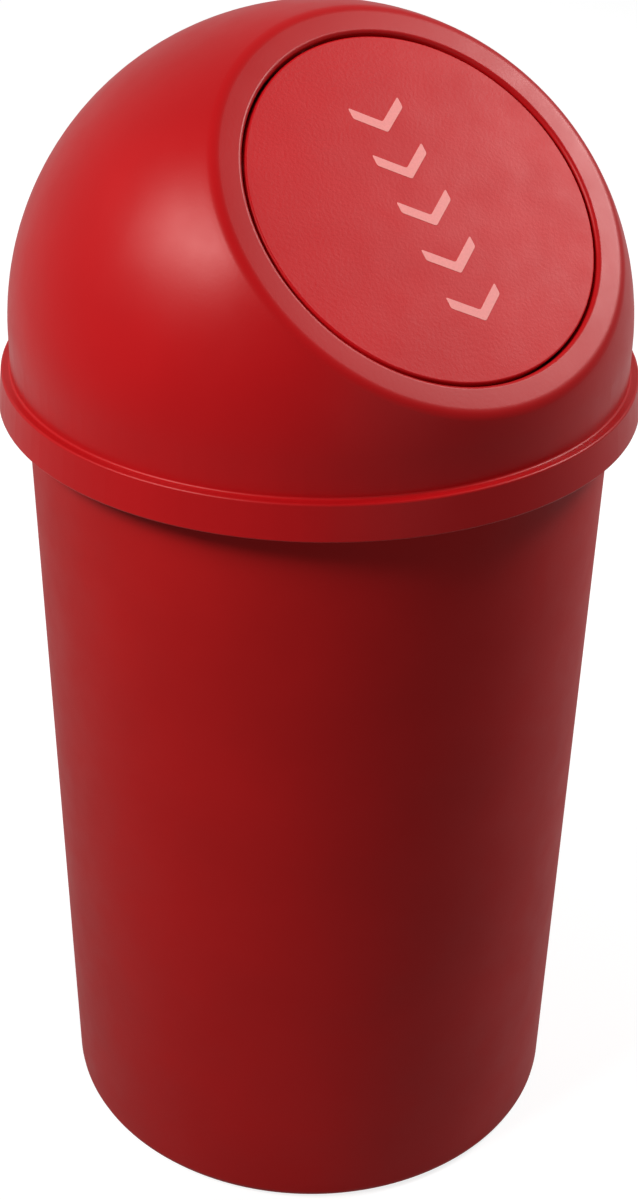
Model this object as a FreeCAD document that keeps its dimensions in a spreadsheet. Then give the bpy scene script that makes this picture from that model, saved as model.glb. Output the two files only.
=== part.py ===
"""Push-flap waste bin: a tapered tub, a lift-off dome hood and a counterweighted round flap.

Frame: +Z up, origin at the centre of the base, the flap faces -Y. Lengths in mm, angles in degrees.
"""
import FreeCAD, Part
import math
import os
import Sketcher

doc = FreeCAD.newDocument("PushFlapBin")

# Driving sizes
SIZES = (
    # tub
    ("body_height", "432.4"),
    ("draft_share", "0.0206"),
    ("body_wall", "2.4"),
    ("base_edge_radius", "6.0"),
    ("foot_width", "8.0"),
    ("foot_height", "4.0"),
    ("floor_thickness", "2.6"),
    ("floor_corner_radius", "5.0"),
    ("rim_reach", "8.1"),
    ("rim_thickness", "2.4"),
    ("rim_lip_depth", "9.0"),
    ("rim_lip_wall", "2.2"),
    ("rim_round", "0.9"),
    ("rim_clearance", "0.6"),
    # hood
    ("hood_wall", "2.4"),
    ("skirt_bottom_radius", "156.0"),
    ("skirt_flare", "2.0"),
    ("skirt_height", "17.7"),
    ("skirt_round", "1.2"),
    ("hem_round", "0.7"),
    ("shoulder_height", "18.0"),
    ("shoulder_step", "4.5"),
    ("shoulder_corner_radius", "1.2"),
    # slanted facing with the round opening
    ("flap_tilt", "42.6"),
    ("facing_share", "0.735"),
    ("facing_edge_radius", "5.0"),
    ("bezel_width", "13.7"),
    ("lip_radius", "2.8"),
    ("collar_wall", "2.3"),
    # flap
    ("flap_gap", "1.3"),
    ("flap_recess", "0.9"),
    ("flap_thickness", "2.2"),
    ("flap_rim_depth", "5.2"),
    ("flap_rim_wall", "2.2"),
    ("flap_edge_radius", "1.0"),
    ("rib_width", "2.0"),
    ("rib_height", "4.0"),
    ("rib_share", "0.68"),
    # hinge
    ("pivot_share", "0.468"),
    ("pivot_depth", "6.6"),
    ("pin_radius", "2.0"),
    ("pin_clearance", "0.05"),
    ("pin_head_radius", "3.2"),
    ("pin_head_thickness", "1.5"),
    ("pin_tail", "1.6"),
    ("ear_radius", "4.2"),
    ("ear_length", "10.5"),
    ("boss_radius", "5.0"),
    ("boss_length", "4.5"),
    ("retainer_radius", "4.0"),
    ("retainer_thickness", "0.8"),
    ("retainer_clearance", "0.1"),
    # counterweight
    ("bar_radius", "7.0"),
    ("bar_overhang", "5.5"),
    ("bar_chamfer", "0.8"),
    ("bar_clearance", "0.05"),
    ("bar_offset_in", "18.0"),
    ("post_share", "0.7"),
    ("post_thickness", "5.0"),
    ("post_radius", "10.5"),
    ("post_margin", "4.6"),
    ("cap_wall", "1.1"),
    ("cap_end", "1.5"),
    # stop
    ("tab_width", "38.0"),
    ("tab_reach", "9.6"),
    ("tab_thickness", "2.2"),
    ("pad_thickness", "1.2"),
    ("pad_width", "11.0"),
    ("pad_inset", "2.0"),
    ("pad_margin", "1.0"),
    ("pad_round", "1.5"),
    # length by which a cut or a trimmed pad runs past what it meets
    ("overrun", "1.0"),
)

# Places worked out from the driving sizes; radii and heights of the tub and hood, then of the facing,
# where a rise is measured up the slope from the opening's centre and a level along the facing's normal
PLACES = (
    ("skirt_top_radius", "Sizes.skirt_bottom_radius - Sizes.skirt_flare"),
    ("dome_radius", "skirt_top_radius - Sizes.shoulder_step"),
    ("seat_radius", "skirt_top_radius - Sizes.hood_wall"),
    ("rim_radius", "seat_radius - Sizes.rim_clearance"),
    ("rim_lip_inner", "rim_radius - Sizes.rim_lip_wall"),
    ("body_top_radius", "rim_radius - Sizes.rim_reach"),
    ("base_radius", "body_top_radius - Sizes.draft_share * Sizes.body_height"),
    ("foot_inner_radius", "base_radius - Sizes.base_edge_radius - Sizes.foot_width"),
    ("floor_top", "Sizes.foot_height + Sizes.floor_thickness"),
    ("inner_base_radius", "base_radius + Sizes.draft_share * floor_top - Sizes.body_wall"),
    ("inner_top_radius", "body_top_radius - Sizes.body_wall"),
    ("rim_under", "Sizes.body_height - Sizes.rim_thickness"),
    ("neck_radius", "base_radius + Sizes.draft_share * rim_under"),
    ("rim_lip_end", "Sizes.body_height - Sizes.rim_lip_depth"),
    ("skirt_top", "Sizes.body_height + Sizes.hood_wall"),
    ("skirt_bottom", "skirt_top - Sizes.skirt_height"),
    ("hem_inner_radius", "Sizes.skirt_bottom_radius - Sizes.hood_wall"),
    ("dome_centre", "skirt_top + Sizes.shoulder_height"),
    ("dome_top", "dome_centre + dome_radius"),
    ("dome_inner_radius", "dome_radius - Sizes.hood_wall"),
    ("dome_inner_top", "dome_centre + dome_inner_radius"),
    ("facing_distance", "Sizes.facing_share * dome_radius"),
    ("facing_radius", "sqrt(dome_radius ^ 2 - facing_distance ^ 2)"),
    ("facing_back_radius", "sqrt(dome_inner_radius ^ 2 - (facing_distance - Sizes.hood_wall) ^ 2)"),
    ("plate_radius", "(facing_radius + facing_back_radius) / 2"),
    ("opening_radius", "facing_radius - Sizes.bezel_width"),
    ("collar_radius", "opening_radius + Sizes.collar_wall"),
    ("flap_radius", "opening_radius - Sizes.flap_gap"),
    ("flap_rim_inner", "flap_radius - Sizes.flap_rim_wall"),
    ("flap_face", "-Sizes.flap_recess"),
    ("flap_back", "flap_face - Sizes.flap_thickness"),
    ("flap_rim_end", "flap_face - Sizes.flap_rim_depth"),
    ("flap_core", "flap_face - Sizes.flap_thickness / 2"),
    ("pivot_rise", "Sizes.pivot_share * flap_radius"),
    ("pivot_level", "-Sizes.pivot_depth"),
    ("pivot_y", "pivot_rise * cos(Sizes.flap_tilt)"
                " - (facing_distance + pivot_level) * sin(Sizes.flap_tilt)"),
    ("pivot_z", "dome_centre + pivot_rise * sin(Sizes.flap_tilt)"
                " + (facing_distance + pivot_level) * cos(Sizes.flap_tilt)"),
    ("ear_outer", "sqrt((flap_radius - Sizes.flap_rim_wall / 2) ^ 2"
                  " - (pivot_rise + Sizes.ear_radius) ^ 2)"),
    ("ear_inner", "ear_outer - Sizes.ear_length"),
    ("boss_end", "sqrt(opening_radius ^ 2 - pivot_rise ^ 2) + Sizes.boss_length"),
    ("bearing_radius", "Sizes.pin_radius + Sizes.pin_clearance"),
    ("head_end", "ear_inner - Sizes.pin_head_thickness"),
    ("retainer_start", "boss_end + Sizes.retainer_clearance"),
    ("retainer_end", "retainer_start + Sizes.retainer_thickness"),
    ("pin_end", "retainer_end + Sizes.pin_tail"),
    ("post_spacing", "Sizes.post_share * flap_radius"),
    ("post_inner", "(post_spacing - Sizes.post_thickness) / 2"),
    ("post_outer", "(post_spacing + Sizes.post_thickness) / 2"),
    ("bar_rise", "sqrt(flap_rim_inner ^ 2 - post_outer ^ 2) - Sizes.post_radius - Sizes.post_margin"),
    ("bar_level", "pivot_level - Sizes.bar_offset_in"),
    ("bar_half", "post_outer + Sizes.bar_overhang"),
    ("bar_chamfer_start", "bar_half - Sizes.bar_chamfer"),
    ("bar_chamfer_radius", "Sizes.bar_radius - Sizes.bar_chamfer"),
    ("bar_hole_radius", "Sizes.bar_radius + Sizes.bar_clearance"),
    ("post_low", "bar_rise - Sizes.post_radius"),
    ("post_high", "bar_rise + Sizes.post_radius"),
    ("cap_radius", "Sizes.bar_radius + Sizes.cap_wall"),
    ("cap_tip", "bar_half + Sizes.cap_end"),
    ("rib_inner", "(post_spacing - Sizes.rib_width) / 2"),
    ("rib_outer", "(post_spacing + Sizes.rib_width) / 2"),
    ("rib_end", "Sizes.rib_share * flap_radius"),
    ("tab_top", "flap_rim_end - Sizes.pad_thickness"),
    ("collar_depth", "Sizes.tab_thickness - tab_top"),
    ("tab_half", "Sizes.tab_width / 2"),
    ("tab_inner", "opening_radius - Sizes.tab_reach"),
    ("tab_outer", "opening_radius + Sizes.collar_wall / 2"),
    ("pad_far", "tab_half - Sizes.pad_inset"),
    ("pad_near", "pad_far - Sizes.pad_width"),
    ("pad_low", "tab_inner + Sizes.pad_margin"),
    ("pad_high", "sqrt(opening_radius ^ 2 - pad_far ^ 2) - Sizes.pad_margin"),
)

X_AXIS = FreeCAD.Vector(1, 0, 0)
NORMAL = FreeCAD.Vector(0, 0, 1)
# numbers by which a sketch knows a line's start, end and centre, its own two axes and its origin
START, END, CENTRE = range(1, 4)
V_AXIS, H_AXIS = range(-2, 0)
ORIGIN_POINT = (H_AXIS, START)
SIDES = (("right", ""), ("left", "-"))


def fill_sheet(name, rows, prefix):
    """Write one named cell a row."""
    sheet = doc.addObject("Spreadsheet::Sheet", name)
    for row, (alias, content) in enumerate(rows, start=1):
        cell = "A%d" % row
        sheet.setAlias(cell, alias)
        sheet.set(cell, prefix + content)
    doc.recompute()


def value(name):
    """Number that a cell such as Places.rim_radius holds; a leading minus turns its sign."""
    if name == "0":
        return 0.0
    sheet, alias = name.lstrip("-").split(".")
    number = float(doc.getObject(sheet).get(alias))
    return -number if name.startswith("-") else number


def new_body(label):
    body = doc.addObject("PartDesign::Body", label)
    body.Label = label
    return body


def new_sketch(body, name, role, offset=None):
    """Sketch on one of the body's origin planes, moved along that plane's normal by a cell's value."""
    sketch = body.newObject("Sketcher::SketchObject", name)
    sketch.AttachmentSupport = [(origin_plane(body, role), "")]
    sketch.MapMode = "FlatFace"
    if offset:
        sketch.setExpression("AttachmentOffset.Base.z", offset)
    return sketch


def origin_plane(body, role):
    return [feature for feature in body.Origin.OriginFeatures if feature.Role == role][0]


def lean(thing, holder, rise, level):
    """Turn a thing to the facing's slope, at a rise up the slope and a level along the normal."""
    turn = FreeCAD.Rotation(X_AXIS, value("Sizes.flap_tilt"))
    setattr(thing, holder, FreeCAD.Placement(FreeCAD.Vector(), turn))
    reach = "(Places.facing_distance + (%s))" % level
    thing.setExpression(holder + ".Rotation.Angle", "Sizes.flap_tilt")
    thing.setExpression(holder + ".Base.y",
                        "(%s) * cos(Sizes.flap_tilt) - %s * sin(Sizes.flap_tilt)" % (rise, reach))
    thing.setExpression(holder + ".Base.z",
                        "Places.dome_centre + (%s) * sin(Sizes.flap_tilt) + %s * cos(Sizes.flap_tilt)"
                        % (rise, reach))


def facing_sketch(body, name, level):
    """Sketch parallel to the facing, whose Y runs up the slope."""
    sketch = new_sketch(body, name, "XY_Plane")
    lean(sketch, "AttachmentOffset", "0", level)
    return sketch


def bind(sketch, kind, expression, *ends):
    """Constraint driven by a cell."""
    index = sketch.addConstraint(Sketcher.Constraint(kind, *ends, value(expression)))
    sketch.setExpression("Constraints[%d]" % index, expression)


def fix_point(sketch, item, end, across, up):
    """Hold a point at the two cells' values, or on an axis where one is zero."""
    for kind, name, axis in (("DistanceX", across, V_AXIS), ("DistanceY", up, H_AXIS)):
        if name == "0":
            sketch.addConstraint(Sketcher.Constraint("PointOnObject", item, end, axis))
        else:
            bind(sketch, kind, name, *ORIGIN_POINT, item, end)


def draw_circle(sketch, across, up, radius):
    centre = FreeCAD.Vector(value(across), value(up), 0)
    item = sketch.addGeometry(Part.Circle(centre, NORMAL, value(radius)), False)
    if across == "0" and up == "0":
        sketch.addConstraint(Sketcher.Constraint("Coincident", item, CENTRE, *ORIGIN_POINT))
    else:
        fix_point(sketch, item, CENTRE, across, up)
    bind(sketch, "Radius", radius, item)


def draw_outline(sketch, corners, arcs=()):
    """Closed outline through the corners. A side named in arcs turns left about its own centre."""
    centres = dict(arcs)
    points = [FreeCAD.Vector(value(across), value(up), 0) for across, up in corners]
    for side, start in enumerate(points):
        end = points[(side + 1) % len(points)]
        if side in centres:
            centre = FreeCAD.Vector(*[value(name) for name in centres[side]], 0)
            circle = Part.Circle(centre, NORMAL, start.distanceToPoint(centre))
            angles = [math.atan2(point.y - centre.y, point.x - centre.x) for point in (start, end)]
            sketch.addGeometry(Part.ArcOfCircle(circle, *angles), False)
        else:
            sketch.addGeometry(Part.LineSegment(start, end), False)
    for side, (across, up) in enumerate(corners):
        previous = (side - 1) % len(points)
        sketch.addConstraint(Sketcher.Constraint("Coincident", previous, END, side, START))
        fix_point(sketch, side, START, across, up)
    for side, (across, up) in centres.items():
        if across == "0":
            sketch.addConstraint(Sketcher.Constraint("PointOnObject", side, CENTRE, V_AXIS))
        else:
            bind(sketch, "DistanceY", up, *ORIGIN_POINT, side, CENTRE)


def draw_rectangle(sketch, left, right, low, high):
    draw_outline(sketch, ((left, low), (right, low), (right, high), (left, high)))


def revolve(body, name, sketch, axis):
    feature = body.newObject("PartDesign::Revolution", name)
    feature.Profile = sketch
    feature.ReferenceAxis = (sketch, [axis])
    return feature


def extrude(kind, body, name, sketch, length, backwards=False, symmetric=False):
    """Pad or pocket of a sketch by a length."""
    feature = body.newObject("PartDesign::" + kind, name)
    feature.Profile = sketch
    feature.setExpression("Length", length)
    feature.Reversed = backwards
    feature.SideType = "Symmetric" if symmetric else "One side"
    return feature


def mirror(body, name, feature):
    """Repeat a feature on the other side of the plane of symmetry."""
    doc.recompute()
    copy = body.newObject("PartDesign::Mirrored", name)
    copy.Originals = [feature]
    copy.MirrorPlane = (origin_plane(body, "YZ_Plane"), [""])
    body.Tip = copy
    return copy


def is_ring(edge, radius, centre):
    """True for a round edge of that radius about that centre."""
    if edge.Degenerated or not isinstance(edge.Curve, Part.Circle):
        return False
    near = Part.Vertex(centre).distToShape(Part.Vertex(edge.Curve.Center))[0]
    return math.isclose(edge.Curve.Radius, radius, abs_tol=TOUCH) and near < TOUCH


def round_edges(body, name, base, radius, chosen):
    """Fillet the edges that the test picks."""
    doc.recompute()
    names = ["Edge%d" % number for number, edge in enumerate(base.Shape.Edges, start=1) if chosen(edge)]
    if not names:
        raise RuntimeError("no edge found for " + name)
    fillet = body.newObject("PartDesign::Fillet", name)
    fillet.Base = (base, names)
    fillet.setExpression("Radius", radius)
    return fillet


def ring_rounder(body):
    """Rounder for level edges about the upright axis."""
    def round_ring(name, base, fillet_radius, ring_radius, height):
        centre = FreeCAD.Vector(0, 0, value(height))
        return round_edges(body, name, base, fillet_radius,
                           lambda edge: is_ring(edge, value(ring_radius), centre))
    return round_ring


fill_sheet("Sizes", SIZES, "")
fill_sheet("Places", PLACES, "=")
# Edges that lie closer than this share of the overrun to where they are looked for are the same edge
TOUCH_SHARE = 0.001
TOUCH = TOUCH_SHARE * value("Sizes.overrun")


def build_bin_body():
    """Tapered tub with a foot ring, a raised floor and a rim turned out and down."""
    body = new_body("bin_body")
    section = new_sketch(body, "TubSection", "XZ_Plane")
    draw_outline(section, (
        ("Places.foot_inner_radius", "0"),
        ("Places.base_radius", "0"),
        ("Places.neck_radius", "Places.rim_under"),
        ("Places.rim_lip_inner", "Places.rim_under"),
        ("Places.rim_lip_inner", "Places.rim_lip_end"),
        ("Places.rim_radius", "Places.rim_lip_end"),
        ("Places.rim_radius", "Sizes.body_height"),
        ("Places.inner_top_radius", "Sizes.body_height"),
        ("Places.inner_base_radius", "Places.floor_top"),
        ("0", "Places.floor_top"),
        ("0", "Sizes.foot_height"),
        ("Places.foot_inner_radius", "Sizes.foot_height"),
    ))
    tub = revolve(body, "Tub", section, "V_Axis")
    round_ring = ring_rounder(body)
    tub = round_ring("BaseEdge", tub, "Sizes.base_edge_radius", "Places.base_radius", "0")
    tub = round_ring("FloorCorner", tub, "Sizes.floor_corner_radius",
                     "Places.inner_base_radius", "Places.floor_top")
    tub = round_ring("RimOuterEdge", tub, "Sizes.rim_round", "Places.rim_radius", "Sizes.body_height")
    round_ring("RimInnerEdge", tub, "Sizes.rim_round", "Places.inner_top_radius", "Sizes.body_height")
    return body


def build_lid_hood():
    """Thin dome with a skirt band, cut flat on a slant, with a collared opening in the flat."""
    body = new_body("lid_hood")
    section = new_sketch(body, "HoodSection", "XZ_Plane")
    draw_outline(section, (
        ("0", "Places.skirt_bottom"),
        ("Sizes.skirt_bottom_radius", "Places.skirt_bottom"),
        ("Places.skirt_top_radius", "Places.skirt_top"),
        ("Places.dome_radius", "Places.skirt_top"),
        ("Places.dome_radius", "Places.dome_centre"),
        ("0", "Places.dome_top"),
    ), arcs=((4, ("0", "Places.dome_centre")),))
    dome = revolve(body, "Dome", section, "V_Axis")
    hollow_section = new_sketch(body, "HollowSection", "XZ_Plane")
    draw_outline(hollow_section, (
        ("0", "Places.skirt_bottom"),
        ("Places.hem_inner_radius", "Places.skirt_bottom"),
        ("Places.seat_radius", "Sizes.body_height"),
        ("Places.dome_inner_radius", "Sizes.body_height"),
        ("Places.dome_inner_radius", "Places.dome_centre"),
        ("0", "Places.dome_inner_top"),
    ), arcs=((4, ("0", "Places.dome_centre")),))
    hollow = body.newObject("PartDesign::Groove", "Hollow")
    hollow.Profile = hollow_section
    hollow.ReferenceAxis = (hollow_section, ["V_Axis"])
    slice_sketch = facing_sketch(body, "SliceSketch", "0")
    draw_circle(slice_sketch, "0", "0", "Places.dome_radius")
    sliced = extrude("Pocket", body, "Slice", slice_sketch, "Places.dome_radius", backwards=True)
    doc.recompute()
    check_less(hollow, dome)
    check_less(sliced, hollow)

    plate_sketch = facing_sketch(body, "PlateSketch", "0")
    draw_circle(plate_sketch, "0", "0", "Places.plate_radius")
    shell = extrude("Pad", body, "Facing", plate_sketch, "Sizes.hood_wall", backwards=True)
    shell = round_facing(body, "FacingEdge", shell, "Sizes.facing_edge_radius", "Places.facing_radius")
    round_ring = ring_rounder(body)
    shell = round_ring("SkirtEdge", shell, "Sizes.skirt_round",
                       "Places.skirt_top_radius", "Places.skirt_top")
    shell = round_ring("ShoulderCorner", shell, "Sizes.shoulder_corner_radius",
                       "Places.dome_radius", "Places.skirt_top")
    shell = round_ring("HemOuterEdge", shell, "Sizes.hem_round",
                       "Sizes.skirt_bottom_radius", "Places.skirt_bottom")

    collar_sketch = facing_sketch(body, "CollarSketch", "0")
    draw_circle(collar_sketch, "0", "0", "Places.collar_radius")
    extrude("Pad", body, "Collar", collar_sketch, "Places.collar_depth", backwards=True)
    boss_sketch = new_sketch(body, "BossSketch", "YZ_Plane")
    draw_circle(boss_sketch, "Places.pivot_y", "Places.pivot_z", "Sizes.boss_radius")
    bosses = extrude("Pad", body, "Bosses", boss_sketch, "2 * Places.boss_end", symmetric=True)
    opening_sketch = facing_sketch(body, "OpeningSketch", "0")
    draw_circle(opening_sketch, "0", "0", "Places.opening_radius")
    opening = extrude("Pocket", body, "Opening", opening_sketch,
                      "Places.collar_depth + Sizes.boss_radius")
    doc.recompute()
    check_less(opening, bosses)
    opening = round_facing(body, "Lip", opening, "Sizes.lip_radius", "Places.opening_radius")

    tab_sketch = facing_sketch(body, "TabSketch", "Places.tab_top")
    draw_rectangle(tab_sketch, "-Places.tab_half", "Places.tab_half",
                   "Places.tab_inner", "Places.tab_outer")
    tab = extrude("Pad", body, "StopTab", tab_sketch, "Sizes.tab_thickness", backwards=True)
    bearing_sketch = new_sketch(body, "BearingSketch", "YZ_Plane")
    draw_circle(bearing_sketch, "Places.pivot_y", "Places.pivot_z", "Places.bearing_radius")
    bearings = extrude("Pocket", body, "Bearings", bearing_sketch,
                       "2 * (Places.boss_end + Sizes.overrun)", symmetric=True)
    doc.recompute()
    check_less(bearings, tab)
    return body


def round_facing(body, name, base, fillet_radius, ring_radius):
    """Round an edge that lies in the facing's plane about the opening's axis."""
    tilt = math.radians(value("Sizes.flap_tilt"))
    out = value("Places.facing_distance")
    centre = FreeCAD.Vector(0, -out * math.sin(tilt), value("Places.dome_centre") + out * math.cos(tilt))
    return round_edges(body, name, base, fillet_radius,
                       lambda edge: is_ring(edge, value(ring_radius), centre))


def check_less(cut, base):
    """A cut that removes nothing points the wrong way."""
    if not cut.Shape.Volume < base.Shape.Volume:
        raise RuntimeError(cut.Name + " removes nothing")


def build_flap_panel():
    """Shallow round cap with hinge ears, counterweight posts and two ribs on its back."""
    body = new_body("flap_panel")
    lean(body, "Placement", "0", "0")
    section = new_sketch(body, "FlapSection", "XZ_Plane")
    draw_outline(section, (
        ("0", "Places.flap_back"),
        ("Places.flap_rim_inner", "Places.flap_back"),
        ("Places.flap_rim_inner", "Places.flap_rim_end"),
        ("Places.flap_radius", "Places.flap_rim_end"),
        ("Places.flap_radius", "Places.flap_face"),
        ("0", "Places.flap_face"),
    ))
    cap = revolve(body, "Cap", section, "V_Axis")
    ring_rounder(body)("CapEdge", cap, "Sizes.flap_edge_radius", "Places.flap_radius", "Places.flap_face")

    ear_sketch = new_sketch(body, "EarSketch", "YZ_Plane", "Places.ear_inner")
    draw_circle(ear_sketch, "Places.pivot_rise", "Places.pivot_level", "Sizes.ear_radius")
    ear = extrude("Pad", body, "Ear", ear_sketch, "Sizes.ear_length")
    ears = mirror(body, "Ears", ear)
    pin_hole_sketch = new_sketch(body, "PinHoleSketch", "YZ_Plane")
    draw_circle(pin_hole_sketch, "Places.pivot_rise", "Places.pivot_level", "Sizes.pin_radius")
    pin_holes = extrude("Pocket", body, "PinHoles", pin_hole_sketch, "2 * Places.opening_radius",
                        symmetric=True)
    doc.recompute()
    check_less(pin_holes, ears)

    post_sketch = new_sketch(body, "PostSketch", "YZ_Plane", "Places.post_inner")
    draw_outline(post_sketch, (
        ("Places.post_low", "Places.flap_core"),
        ("Places.post_low", "Places.bar_level"),
        ("Places.post_high", "Places.bar_level"),
        ("Places.post_high", "Places.flap_core"),
    ), arcs=((1, ("Places.bar_rise", "Places.bar_level")),))
    post = extrude("Pad", body, "Post", post_sketch, "Sizes.post_thickness")
    posts = mirror(body, "Posts", post)
    bar_hole_sketch = new_sketch(body, "BarHoleSketch", "YZ_Plane")
    draw_circle(bar_hole_sketch, "Places.bar_rise", "Places.bar_level", "Places.bar_hole_radius")
    bar_holes = extrude("Pocket", body, "BarHoles", bar_hole_sketch, "2 * Places.opening_radius",
                        symmetric=True)
    doc.recompute()
    check_less(bar_holes, posts)

    rib_sketch = new_sketch(body, "RibSketch", "XY_Plane", "Places.flap_core")
    draw_rectangle(rib_sketch, "Places.rib_inner", "Places.rib_outer", "-Places.rib_end", "Places.post_low")
    rib = extrude("Pad", body, "Rib", rib_sketch, "Sizes.flap_thickness / 2 + Sizes.rib_height",
                  backwards=True)
    mirror(body, "Ribs", rib)
    return body


def build_round(label, rise, level, corners):
    """Turned piece about a line across the bin, at a place on the facing."""
    body = new_body(label)
    lean(body, "Placement", rise, level)
    section = new_sketch(body, label + "_section", "XY_Plane")
    draw_outline(section, corners)
    revolve(body, label + "_turned", section, "H_Axis")
    return body


def build_hinge_pin(side, sign):
    """Headed pin through the flap's ear into the hood's boss."""
    return build_round("hinge_pin_" + side, "Places.pivot_rise", "Places.pivot_level", (
        (sign + "Places.head_end", "0"),
        (sign + "Places.pin_end", "0"),
        (sign + "Places.pin_end", "Sizes.pin_radius"),
        (sign + "Places.ear_inner", "Sizes.pin_radius"),
        (sign + "Places.ear_inner", "Sizes.pin_head_radius"),
        (sign + "Places.head_end", "Sizes.pin_head_radius"),
    ))


def build_pin_retainer(side, sign):
    """Push-on washer that keeps the pin in the boss."""
    return build_round("pin_retainer_" + side, "Places.pivot_rise", "Places.pivot_level", (
        (sign + "Places.retainer_start", "Sizes.pin_radius"),
        (sign + "Places.retainer_end", "Sizes.pin_radius"),
        (sign + "Places.retainer_end", "Sizes.retainer_radius"),
        (sign + "Places.retainer_start", "Sizes.retainer_radius"),
    ))


def build_counterweight_bar():
    """Round bar with chamfered ends."""
    return build_round("counterweight_bar", "Places.bar_rise", "Places.bar_level", (
        ("-Places.bar_half", "0"),
        ("Places.bar_half", "0"),
        ("Places.bar_half", "Places.bar_chamfer_radius"),
        ("Places.bar_chamfer_start", "Sizes.bar_radius"),
        ("-Places.bar_chamfer_start", "Sizes.bar_radius"),
        ("-Places.bar_half", "Places.bar_chamfer_radius"),
    ))


def build_bar_cap(side, sign):
    """Cup pushed on the bar's end, up against its post."""
    return build_round("bar_cap_" + side, "Places.bar_rise", "Places.bar_level", (
        (sign + "Places.post_outer", "Sizes.bar_radius"),
        (sign + "Places.bar_half", "Sizes.bar_radius"),
        (sign + "Places.bar_half", "0"),
        (sign + "Places.cap_tip", "0"),
        (sign + "Places.cap_tip", "Places.cap_radius"),
        (sign + "Places.post_outer", "Places.cap_radius"),
    ))


def build_stop_pad(side, sign):
    """Small pad on the stop tab, under the closed flap's edge."""
    body = new_body("stop_pad_" + side)
    lean(body, "Placement", "0", "Places.tab_top")
    sketch = new_sketch(body, "PadSketch_" + side, "XY_Plane")
    draw_rectangle(sketch, sign + "Places.pad_near", sign + "Places.pad_far",
                   "Places.pad_low", "Places.pad_high")
    pad = extrude("Pad", body, "Pad_" + side, sketch, "Sizes.pad_thickness")
    round_edges(body, "PadCorners_" + side, pad, "Sizes.pad_round", is_upright)
    return body


def is_upright(edge):
    """True for a straight edge along the body's own Z."""
    ends = [vertex.Point for vertex in edge.Vertexes]
    return len(ends) > 1 and math.hypot(ends[0].x - ends[1].x, ends[0].y - ends[1].y) < TOUCH


def build_all():
    pieces = [build_bin_body(), build_lid_hood(), build_flap_panel(), build_counterweight_bar()]
    for side, sign in SIDES:
        for build in (build_hinge_pin, build_pin_retainer, build_bar_cap, build_stop_pad):
            pieces.append(build(side, sign))
    doc.recompute()
    return pieces


def check_document(pieces):
    """Stop on any failed object or unsound solid."""
    for item in doc.Objects:
        if "Invalid" in item.State or "Error" in item.State:
            raise RuntimeError("%s failed: %s" % (item.Label, item.State))
    for piece in pieces:
        shape = piece.Shape
        if shape.isNull() or not shape.isValid() or len(shape.Solids) != 1:
            raise RuntimeError(piece.Label + " is not one sound solid")


def write_steps(pieces):
    os.makedirs("parts", exist_ok=True)
    for piece in pieces:
        piece.Shape.exportStep("parts/%s.step" % piece.Label)
        print("%-20s %12.1f mm3" % (piece.Label, piece.Shape.Volume))


finished = build_all()
check_document(finished)
write_steps(finished)
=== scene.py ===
"""Push-flap waste bin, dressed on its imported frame: tub, dome hood, round flap and the flap's fittings.

Lengths are in metres in the frame's own axes: +Z up, origin at the centre of the base, the flap faces -Y.
The slanted facing has axes of its own: X across, Y (rise) up the slope, Z (level) out along its normal.
"""

import math
from types import SimpleNamespace

import bmesh
import bpy
from bpy.props import FloatProperty, FloatVectorProperty, PointerProperty
from mathutils import Matrix, Vector


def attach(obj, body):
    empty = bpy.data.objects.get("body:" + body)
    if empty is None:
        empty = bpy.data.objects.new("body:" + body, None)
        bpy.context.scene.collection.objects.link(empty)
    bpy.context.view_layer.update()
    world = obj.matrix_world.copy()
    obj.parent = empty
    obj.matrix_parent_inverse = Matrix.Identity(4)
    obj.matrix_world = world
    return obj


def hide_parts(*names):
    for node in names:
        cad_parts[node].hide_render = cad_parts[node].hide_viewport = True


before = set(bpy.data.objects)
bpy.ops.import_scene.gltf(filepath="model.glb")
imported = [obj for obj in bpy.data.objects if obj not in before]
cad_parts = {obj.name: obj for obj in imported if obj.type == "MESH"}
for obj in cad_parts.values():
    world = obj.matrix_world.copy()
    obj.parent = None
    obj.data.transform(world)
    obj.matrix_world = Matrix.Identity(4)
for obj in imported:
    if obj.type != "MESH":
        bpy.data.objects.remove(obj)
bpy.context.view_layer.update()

bl_info = {
    "name": "Push-flap waste bin",
    "version": (1, 0, 0),
    "blender": (4, 5, 0),
    "location": "3D View > Sidebar > Waste bin",
    "description": "Models the bin's mouldings and fittings on the packed frame, "
                   "with finishes and a studio",
    "category": "Add Mesh",
}

MM = 0.001
TOUCH = 0.01 * MM  # vertices nearer than this are one vertex
TURN_STEPS = 192  # flats round the tub, the dome and the opening
ROD_STEPS = 48  # flats round pins, bosses and the bar
ARC_STEPS = 6  # flats on a rounded corner
CREASE = math.radians(32)  # a sharper edge than this stays crisp
MARK_COUNT = 5  # chevrons in the printed row
NOISE_SPAN = 0.3, 0.7  # most values of a noise pattern lie between these
FLOOR_SIZE = 24  # width of the paper, in metres
AIM = Vector((0, 0, 0.45))  # point on the bin's axis that the softboxes face
SOFTBOXES = {  # compass angle from the front towards the right, height angle, distance and size
    "key": (-104, 38, 1.3, 0.42),
    "spot": (-84, 38, 1.3, 0.28),
    "side": (70, 39, 1.4, 0.42),
    "low": (-14, 0, 1.5, 0.9),
}
PAPER_SPOT = (1.0, 1.4, 0.0)  # place behind the bin, seen from the camera, with a brighter glow
PAPER_SPOT_REACH = 0.6, 2.5  # distances from that place between which the paper's glow dims
PAPER_FAR_REACH = 1.6, 3.0  # distances from the bin between which it turns full white


# Sizes and colours that a user would change

def linear(hex_colour):
    """sRGB hex to linear RGB."""
    levels = [int(hex_colour[place:place + 2], 16) / 255 for place in (1, 3, 5)]
    return [level / 12.92 if level <= 0.04045 else ((level + 0.055) / 1.055) ** 2.4 for level in levels]


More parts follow.
